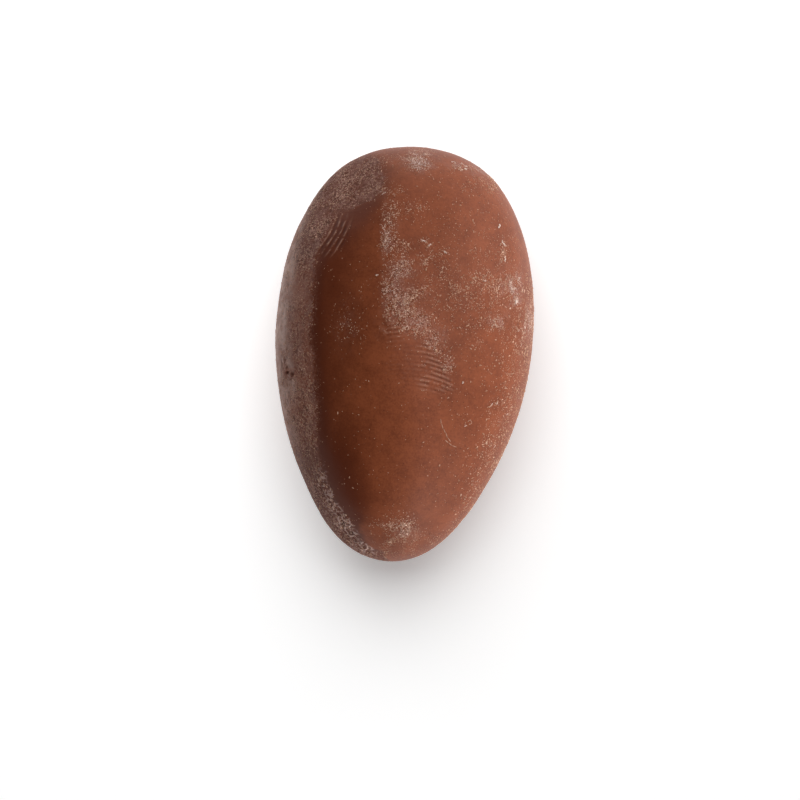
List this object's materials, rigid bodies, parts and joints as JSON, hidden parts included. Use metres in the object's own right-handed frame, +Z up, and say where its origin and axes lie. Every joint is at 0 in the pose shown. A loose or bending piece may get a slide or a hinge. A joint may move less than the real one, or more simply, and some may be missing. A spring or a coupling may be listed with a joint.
{
  "type": "almond-shaped chocolate",
  "caption": "Almond-shaped milk chocolate: one solid sweet with a blunt end, a tapered tip, a softly pressed back and a small flat spot to rest on.",
  "frame": {"origin": "middle of the bounding box's underside, on the surface that the sweet rests on", "axes": "+Y along the sweet from the tapered tip to the blunt end, +X across it to the right as seen from above with the tip towards the viewer, +Z up from the resting flat to the pressed back"},
  "size_m": [0.021, 0.034, 0.0155],
  "materials": {
    "milk_chocolate": "satin milk chocolate with a thin pale dusting of bloom"
  },
  "bodies": {
    "root": {"almond_chocolate": "milk_chocolate"}
  },
  "joints": []
}
